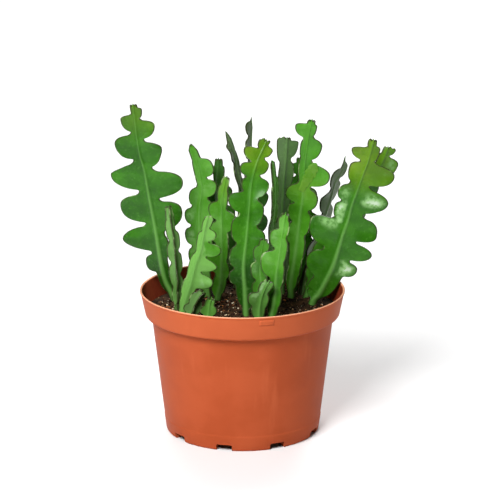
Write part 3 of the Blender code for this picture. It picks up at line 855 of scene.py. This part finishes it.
class Wing:
    """The outline of one wing, and how far round it each row of the blade comes."""

    def __init__(self, angle, knots):
        self.angle = angle
        self.knots = knots
        self.points = []
        self.anchors = [(0.0, 0.0)]
        for index, (low, high) in enumerate(zip(knots, knots[1:])):
            if index >= 2 and low[1] < high[1]:
                self.anchors.append((low[0], len(self.points)))
            self.points += arch_points(low, high)
        self.points.append(knots[-1])
        self.round_notches()
        self.run = [0.0]
        for (a, a_reach), (b, b_reach) in zip(self.points, self.points[1:]):
            self.run.append(self.run[-1] + math.hypot(b - a, b_reach - a_reach))
        self.anchors = [(at, self.run[int(index)]) for at, index in self.anchors]
        self.anchors.append((knots[-1][0], self.run[-1]))

    def round_notches(self):
        """Eases every point of the outline towards its neighbours, which rounds the notches."""
        eased = [
            ((a[0] + 2.0 * b[0] + c[0]) / 4.0, (a[1] + 2.0 * b[1] + c[1]) / 4.0)
            for a, b, c in zip(self.points, self.points[1:], self.points[2:])
        ]
        self.points = self.points[:1] + eased + self.points[-1:]

    def edge_at(self, at):
        """(length, reach) of the outline for the row that leaves the rib at this length."""
        if at <= 0.0:
            return at, ROOT_REACH
        for (low, low_run), (high, high_run) in zip(self.anchors, self.anchors[1:]):
            if at <= high:
                break
        run = low_run + (high_run - low_run) * (at - low) / (high - low)
        index = min(len(self.run) - 1, max(1, bisect.bisect_left(self.run, run)))
        gap = self.run[index] - self.run[index - 1]
        share = (run - self.run[index - 1]) / gap if gap > 0.0 else 0.0
        (a, a_reach), (b, b_reach) = self.points[index - 1], self.points[index]
        return a + (b - a) * share, a_reach + (b_reach - a_reach) * share

    def marked(self, marks, side, station, along, power):
        """How strongly the marks of its lobes count at a length along the stem."""
        found = 0.0
        for marked_side, lobe, above, amount in marks:
            if marked_side == side:
                away = station - self.knots[3 + 2 * lobe][0] - above
                found += amount * math.exp(-((away / along) ** power))
        return found


# %% [markdown]
# ### Skin of a stem
#
# The blade is built row by row. A row runs from the rib out to the edge and back on the other face, once
# for every wing, and the rows fan out into the lobes as the veins do. The rib stands up as a rounded
# ridge, the blade thins towards its edge, and the edge itself is round. Each lobe is also cupped and
# tipped a little, all by different amounts.

# %% Stem sections
ROW_STEP = 0.8
ROOT_STEP = 6.0
RIB_LOW = 1.9
RIB_HIGH = 1.35
ROOT_RIB = 2.7
RIB_TAPER_END = 24.0
RIB_WIDTH_LOW = 2.6
RIB_WIDTH_HIGH = 0.9
RIB_WIDTH_END = 0.8
RIB_FADE = 0.35
VEIN_WIDTH = 1.5
VEIN_RAISE = 0.12
VEIN_LEAST_REACH = 9.0
BLADE_HALF = 0.62
EDGE_ROUND = 0.6
EDGE_OF_REACH = 0.3
WAVE = 2.6
WAVE_LENGTH = 46.0
WAVE_REACH = 25.0
INNER_SHARES = (0.1, 0.22, 0.4, 0.65, 1.0)
INNER_MOST = 4.5
INNER_OF_REACH = 0.5
OUTER_SHARES = (0.3, 0.6, 0.85, 1.0)
ROUND_SHARES = ((0.55, 0.8), (0.9, 0.42))
CUP_MOST = 0.13
RIPPLE = 0.45
RIPPLE_SIZE = 8.0
VISUAL_SHRINK = 0.99
TOOTH_PITCH = 3.2
TOOTH_DEPTH = 2.4
TOOTH_FADE = 5.0
POINT_END = 0.15
TAPER_LEAST = 0.08


def rib_at(at, total):
    if at < RIB_TAPER_END:
        return blend(ROOT_RIB, RIB_LOW, at / RIB_TAPER_END)
    return blend(RIB_LOW, RIB_HIGH, (at - RIB_TAPER_END) / (total - RIB_TAPER_END))


def half_thickness(distance, rib, width):
    """Half the thickness of the blade at a distance from the rib."""
    return BLADE_HALF + (rib - BLADE_HALF) * math.exp(-((distance / width) ** 2))


class Column(NamedTuple):
    """One point of a row: distance from the rib, half thickness, and the side of the wing it is on."""

    distance: float
    half: float
    side: float


def face_columns(reach, rib, width, start, side):
    """The columns of one face of a wing, from the rib to the edge."""
    inner = min(INNER_MOST, INNER_OF_REACH * reach)
    edge = reach - min(EDGE_ROUND, EDGE_OF_REACH * reach)
    found = [start]
    found += [start + (inner - start) * share for share in INNER_SHARES]
    found += [inner + (edge - inner) * share for share in OUTER_SHARES]
    columns = [Column(distance, half_thickness(distance, rib, width), side) for distance in found]
    last = columns[-1].half
    for share, height in ROUND_SHARES:
        columns.append(Column(edge + (reach - edge) * share, last * height, side))
    return columns


def wing_columns(reach, rib, width, low_start, high_start):
    """Out along one face of the wing, round its edge and back along the other, short of the next wing."""
    low = face_columns(reach, rib, width, low_start, -1.0)
    high = face_columns(reach, rib, width, high_start, 1.0)
    return low + [Column(reach, 0.0, 0.0)] + high[:0:-1]


# %% [markdown]
# ### Looks of each stem
#
# No two stems have the same green. Old ones in the shade at the back are dark or greyish, those in front
# are light, and young growth is yellow green with a touch of brown. Some lobes carry a painted sheen, a
# silvery highlight patch; a few lobes and the feet of some stems are darkened with painted shade. Lobes
# are counted from the soil up.

# %% Looks
class Look(NamedTuple):
    """How light and grey a stem is, where along it the young colour starts and ends, and its painted marks.

    Each lobe with a painted sheen (a silvery highlight patch) and each lobe with painted shade is (side,
    number of the lobe, how far above its middle the mark lies in mm, how much). The foot shade says how
    much painted shade darkens the stem at the soil, and the point says over how many mm its tip narrows.
    """

    light: float
    grey: float
    young: float = 0.0
    start: float = 0.7
    end: float = 1.2
    painted_sheen: tuple = ()
    shade: tuple = ()
    foot_shade: float = 0.0
    point: float = 0.0


LOOKS = {
    "left_tall": Look(0.2, 0.05, 0.5, 0.78, foot_shade=0.35),
    "left_front_thin": Look(0.95, 0.45),
    "leaning_notched": Look(
        0.9, 0.1, painted_sheen=(("left", 2, 0, 0.4), ("left", 3, 0, 0.3), ("left", 1, 0, 0.3)), point=6.0
    ),
    "dark_behind_left": Look(0.0, 0.2),
    "light_front_left": Look(1.45, 0.15, painted_sheen=(("right", 0, 0, 0.35),), shade=(("right", 2, 0, 0.8),)),
    "leafy_centre_left": Look(0.85, 0.0, 0.6, 0.72),
    "thin_back_left": Look(0.5, 1.0, point=9.0),
    "thin_back_centre": Look(0.5, 1.1, point=9.0),
    "centre_tall": Look(0.35, 0.05, 0.7, 0.74, foot_shade=0.85),
    "dark_centre": Look(0.3, 0.6),
    "right_centre_tall": Look(0.65, 0.0, 0.4, 0.48, 0.58),
    "small_centre": Look(0.55, 0.2, painted_sheen=(("left", 1, 0, 0.2),)),
    "light_front_right": Look(0.85, 0.1, painted_sheen=(("left", 1, 0, 0.15), ("left", 2, 0, 0.2)), foot_shade=0.6),
    "small_silver_front": Look(0.65, 0.4, painted_sheen=(("left", 0, 3, 0.4), ("left", 1, 0, 0.5))),
    "thin_back_right": Look(0.5, 1.0, point=10.0),
    "right_tall": Look(
        0.3, 0.0, 0.8, 0.64,
        painted_sheen=(
            ("right", 0, 0, 0.95), ("right", 3, 0, 1.0), ("left", 2, 7, 0.6), ("left", 3, 0, 0.9),
            ("left", 4, 1, 0.35),
        ),
    ),
    "right_behind": Look(0.55, 0.1, 0.6, 0.75, painted_sheen=(("right", 4, 0, 0.3),), foot_shade=0.2),
    "stub_striped": Look(0.85, 0.6),
    "stub_rounded": Look(0.75, 0.35),
    "back_middle": Look(0.05, 0.1),
    "back_right": Look(0.4, 0.1),
    "thin_centre": Look(0.6, 0.3),
}
# Lengths along the stem of the painted sheen and painted shade marks, and of the painted shade at the foot.
SHEEN_ALONG = 5.0
SHADE_ALONG = 6.0
FOOT_SHADE_ALONG = (15.0, 60.0)

# %% [markdown]
# The numbers stored at every point (how close to the rib and to the edge, how young, how much painted
# sheen) are what the finish reads to colour the rib, the rim, the new growth and the painted highlights.

# %% Stem skins
LAYERS = ("rib", "edge", "young", "painted_sheen", "tone", "light", "grey")


class Grower:
    """Builds the skin of one stem."""

    def __init__(self, name, stem):
        self.stem = stem
        self.look = LOOKS[name]
        self.line, self.lengths = path_points(stem)
        self.total = self.lengths[-1]
        order = sorted(stem.wings, key=lambda wing: wing[0] % 360)
        self.wings = [Wing(angle, knots_of(stem, lobes, self.total)) for angle, lobes in order]
        dice = random.Random(name)
        self.cups = [[dice.uniform(-CUP_MOST, CUP_MOST) for _ in wing.knots] for wing in self.wings]
        self.tones = [[dice.random() for _ in wing.knots] for wing in self.wings]

    def stations(self):
        found = [-ROOT_DEPTH]
        while found[-1] < -ROOT_STEP:
            found.append(found[-1] + ROOT_STEP)
        found[-1] = 0.0
        rows = round(self.total / ROW_STEP)
        found += [self.total * row / rows for row in range(1, rows)]
        for share in TIP_SHARES:
            found.append(self.total - ROW_STEP * (1.0 - share))
        return found

    def lobe_value(self, wing, values, at):
        """A value that belongs to each lobe, eased from one lobe to the next."""
        for index in range(1, len(wing.knots)):
            low, high = wing.knots[index - 1][0], wing.knots[index][0]
            if at <= high and high > low:
                return blend(values[index - 1], values[index], smooth(low, high, at))
        return values[-1]

    def sheen_at(self, wing, side, station, share):
        """Painted sheen at a point of one wing: a soft highlight patch on the outer half of each lobe that
        has one.
        """
        across = smooth(0.2, 0.5, share) * (1.0 - smooth(0.75, 0.93, share))
        return across * wing.marked(self.look.painted_sheen, side, station, SHEEN_ALONG, 2)

    def shade_at(self, wing, side, station, share):
        """How much darker a point is than its stem: all of the lobe, outside the rib."""
        across = smooth(0.1, 0.25, share)
        return across * wing.marked(self.look.shade, side, station, SHADE_ALONG, 4)

    def young_at(self, station):
        share = station / self.total
        risen = smooth(self.look.start, self.look.start + 0.2, share)
        return self.look.young * risen * (1.0 - smooth(self.look.end, self.look.end + 0.12, share))

    def vein_at(self, wing, station, reach, share):
        """The middle vein of each wide lobe."""
        if reach < VEIN_LEAST_REACH:
            return 0.0
        nearest = min(abs(station - height) for height, _ in wing.knots[3::2])
        along = smooth(0.1, 0.3, share) * (1.0 - smooth(0.6, 0.95, share))
        return math.exp(-((nearest / VEIN_WIDTH) ** 2)) * along

    def ring(self, at):
        """Points of one row, and the values stored at each."""
        rib = rib_at(at, self.total)
        height = at / self.total
        width = blend(RIB_WIDTH_LOW, RIB_WIDTH_HIGH, height / RIB_WIDTH_END)
        tip = min(1.0, max(0.0, (self.total - at) / TIP_ROUND))
        taper = max(TAPER_LEAST, math.sqrt(1.0 - (1.0 - tip) ** 2))
        if self.look.point:
            taper *= blend(POINT_END, 1.0, (self.total - at) / self.look.point)
        # Painted shade: the stem is darker near the soil.
        foot_shade = self.look.foot_shade * (1.0 - smooth(*FOOT_SHADE_ALONG, at))
        points = []
        stored = []
        count = len(self.wings)
        for index, wing in enumerate(self.wings):
            before = self.wings[index - 1].angle
            after = self.wings[(index + 1) % count].angle
            gap_low = math.radians((wing.angle - before) % 360) / 2.0
            gap_high = math.radians((after - wing.angle) % 360) / 2.0
            low_start = rib / math.tan(gap_low)
            high_start = rib / math.tan(gap_high)
            station, reach = wing.edge_at(at)
            reach *= VISUAL_SHRINK
            cup = self.lobe_value(wing, self.cups[index], station)
            tone = self.lobe_value(wing, self.tones[index], station)
            turn = math.radians(wing.angle)
            side = "left" if math.cos(turn) < 0.0 else "right"
            for column in wing_columns(reach, rib, width, low_start, high_start):
                share = max(0.0, column.distance / reach)
                here = at + (station - at) * share
                valley = (1.0 - math.cos(math.tau * column.distance / TOOTH_PITCH)) / 2.0
                here -= TOOTH_DEPTH * valley * smooth(self.total - TOOTH_FADE, self.total, at)
                point, right, front = frame_at(self.stem, self.line, self.lengths, here)
                out = right * math.cos(turn) + front * math.sin(turn)
                across = front * math.cos(turn) - right * math.sin(turn)
                bend = WAVE * math.sin(math.tau * here / WAVE_LENGTH + wing.angle)
                bend *= (column.distance / WAVE_REACH) ** 2
                bend += cup * column.distance * share
                place = point + out * (column.distance * taper)
                bend += RIPPLE * noise.noise(place / RIPPLE_SIZE) * share
                vein = self.vein_at(wing, station, reach, share)
                half = (column.half + VEIN_RAISE * vein) * taper
                points.append(place + across * (bend + column.side * half))
                ridge = math.exp(-((column.distance / width) ** 2)) * blend(1.0, RIB_FADE, height)
                stored.append({
                    "rib": ridge + 0.3 * vein,
                    "edge": reach - column.distance,
                    "young": self.young_at(here),
                    # Painted sheen: a silvery highlight patch on some lobes.
                    "painted_sheen": self.sheen_at(wing, side, station, share),
                    "tone": tone,
                    # The stem's lightness, less painted shade on some lobes and at the foot.
                    "light": self.look.light - self.shade_at(wing, side, station, share) - foot_shade,
                    "grey": self.look.grey,
                })
        return points, stored

    def mesh(self):
        rings = [self.ring(at) for at in self.stations()]
        columns = len(rings[0][0])
        bm = bmesh.new()
        bmesh.ops.create_grid(bm, x_segments=columns, y_segments=len(rings) - 1, size=1.0)
        bm.verts.ensure_lookup_table()
        layers = {name: bm.verts.layers.float.new(name) for name in LAYERS}
        ends = []
        seam = {}
        for row, (points, stored) in enumerate(rings):
            verts = bm.verts[row * (columns + 1) : (row + 1) * (columns + 1)]
            for vert, point, values in zip(verts, points + points[:1], stored + stored[:1]):
                vert.co = point
                for name, layer in layers.items():
                    vert[layer] = values[name]
            seam[verts[-1]] = verts[0]
            if row in (0, len(rings) - 1):
                ends.append(verts[:-1])
        bmesh.ops.weld_verts(bm, targetmap=seam)
        for verts in ends:
            cap = bmesh.ops.contextual_create(bm, geom=verts)["faces"]
            bmesh.ops.triangulate(bm, faces=cap)
        bmesh.ops.recalc_face_normals(bm, faces=bm.faces)
        return bm


# %% [markdown]
# The skin is a glossy mid green. It is mottled, paler along the rib, and turns yellow green in the young
# growth at the tips. A thin brown line runs along the rim, broken by painted pale highlights, and some
# lobes carry a painted silvery sheen.

# %% Stem finish
GREEN_DARK = (0.009, 0.052, 0.002)
GREEN_MID = (0.022, 0.115, 0.004)
GREEN_BRIGHT = (0.052, 0.215, 0.010)
GREEN_LIGHT = (0.130, 0.330, 0.060)
GREEN_YOUNG = (0.125, 0.240, 0.008)
YOUNG_BROWN = (0.140, 0.150, 0.020)
GREEN_GREY = (0.120, 0.165, 0.085)
GREEN_RIB = (0.120, 0.300, 0.060)
RIM_BROWN = (0.030, 0.036, 0.012)
# Painted pale highlight on the rim.
RIM_PALE_HIGHLIGHT = (0.20, 0.30, 0.11)
# Colours of the painted sheen, a silvery highlight.
SHEEN_GREEN = (0.20, 0.40, 0.13)
SHEEN_SILVER = (0.48, 0.60, 0.44)

leaf = Finish("stem_green", shine=0.18)
patch = leaf.noise(45.0, 3.0)
mottle = leaf.noise(150.0, 4.0, 0.65)
fleck = leaf.noise(420.0, 3.0)
lightness = leaf.maths("ADD", leaf.attribute("light"), leaf.maths("MULTIPLY", leaf.attribute("tone"), 0.25))
lightness = leaf.maths("ADD", lightness, leaf.ramp(patch, 0.3, 0.7, -0.10, 0.10))
lightness = leaf.maths("ADD", lightness, leaf.ramp(mottle, 0.35, 0.65, -0.07, 0.07))
young = leaf.mix(leaf.ramp(mottle, 0.5, 0.7, 0.0, 0.5), GREEN_YOUNG, YOUNG_BROWN)
young = leaf.mix(leaf.ramp(leaf.attribute("edge"), 0.5, 3.0, 0.45, 0.0), young, YOUNG_BROWN)
# A brown rim line, with painted pale highlights in patches.
rim_and_highlight = leaf.mix(leaf.ramp(leaf.noise(110.0, 2.0), 0.56, 0.68), RIM_BROWN, RIM_PALE_HIGHLIGHT)
broken = leaf.ramp(leaf.noise(260.0, 4.0), 0.35, 0.6, 0.35, 1.0)
sheen_mask = leaf.maths("MULTIPLY", leaf.attribute("painted_sheen"), broken)
leaf.paint(GREEN_DARK, (
    (leaf.ramp(lightness, -0.2, 0.5), GREEN_MID),
    (leaf.ramp(lightness, 0.3, 0.95), GREEN_BRIGHT),
    (leaf.ramp(lightness, 0.8, 1.4), GREEN_LIGHT),
    (leaf.ramp(leaf.attribute("grey"), 0.0, 1.0, 0.0, 0.8), GREEN_GREY),
    (leaf.maths("MULTIPLY", leaf.attribute("young"), leaf.ramp(patch, 0.35, 0.65, 0.55, 1.1)), young),
    (leaf.ramp(fleck, 0.55, 0.8, 0.0, 0.25), GREEN_LIGHT),
    (leaf.ramp(leaf.attribute("rib"), 0.2, 0.9, 0.0, 0.75), GREEN_RIB),
    # Brown rim line and painted pale highlights along the edge.
    (leaf.ramp(leaf.attribute("edge"), 0.5, 1.3, 0.9, 0.0), rim_and_highlight),
    # Painted sheen: silvery highlight patches on some lobes, in two steps.
    (leaf.ramp(sheen_mask, 0.0, 0.45), SHEEN_GREEN),
    (leaf.ramp(sheen_mask, 0.4, 1.0), SHEEN_SILVER),
))
leaf.set("Roughness", leaf.ramp(patch, 0.3, 0.7, 0.20, 0.34))
leaf.bump(mottle, 0.00035, 0.5)

# %% [markdown]
# ### Stems in their places
#
# Each stem of the part gets its own skin. The skin follows the same path and lobes as the solid stem, so it
# rises from the same spot in the soil.

# %% Stems
for name, stem in STEMS.items():
    grower = Grower(name, stem)
    piece = add_object(f"skin_{name}", grower.mesh(), leaf.material)
    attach(piece, "root")
    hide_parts(f"stem_{name}")
    print(name, "faces:", len(piece.data.polygons))

# %% [markdown]
# ### New shoot
#
# A small yellow green shoot grows across the right centre stem near its top. It starts as a flat grid of
# faces, which is drawn out from its base to its tip, cut back between its teeth, and then given thickness.

# %% New shoot
SHOOT_BASE = Vector((45.8, 24.5, 186.0))
SHOOT_TIP = Vector((57.2, 17.5, 209.2))
SHOOT_WIDTH = 4.6
SHOOT_TEETH = 5
SHOOT_ROWS = 40
SHOOT_TIP_WIDTH = 0.3
SHOOT_THICK = 1.0
SHOOT_SHARP_DEG = 40.0
SHOOT_FOOT = 0.4
SHOOT_WIDEST_AT = 0.625
TOOTH_CUT = 0.3
SHOOT_VALUES = {"edge": 2.0, "young": 0.4, "light": 0.95}


def shoot_mesh():
    run = SHOOT_TIP - SHOOT_BASE
    across = run.cross(Vector((0.0, 1.0, 0.0))).normalized()
    bm = bmesh.new()
    bmesh.ops.create_grid(bm, x_segments=4, y_segments=SHOOT_ROWS, size=1.0)
    for vert in bm.verts:
        share = (vert.co.y + 1.0) / 2.0
        cut = TOOTH_CUT * (share * SHOOT_TEETH % 1.0)
        full = blend(SHOOT_FOOT, 1.0, share / SHOOT_WIDEST_AT)
        end = math.sqrt(1.0 - share**6)
        width = SHOOT_WIDTH * full * (1.0 - cut) * end + SHOOT_TIP_WIDTH
        vert.co = SHOOT_BASE + run * share + across * (vert.co.x * width)
    bmesh.ops.solidify(bm, geom=bm.faces[:], thickness=SHOOT_THICK)
    bmesh.ops.recalc_face_normals(bm, faces=bm.faces)
    for name in LAYERS:
        layer = bm.verts.layers.float.new(name)
        for vert in bm.verts:
            vert[layer] = SHOOT_VALUES.get(name, 0.0)
    return bm


shoot = add_object("new_shoot", shoot_mesh(), leaf.material, SHOOT_SHARP_DEG)
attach(shoot, "root")
print("new shoot faces:", len(shoot.data.polygons))
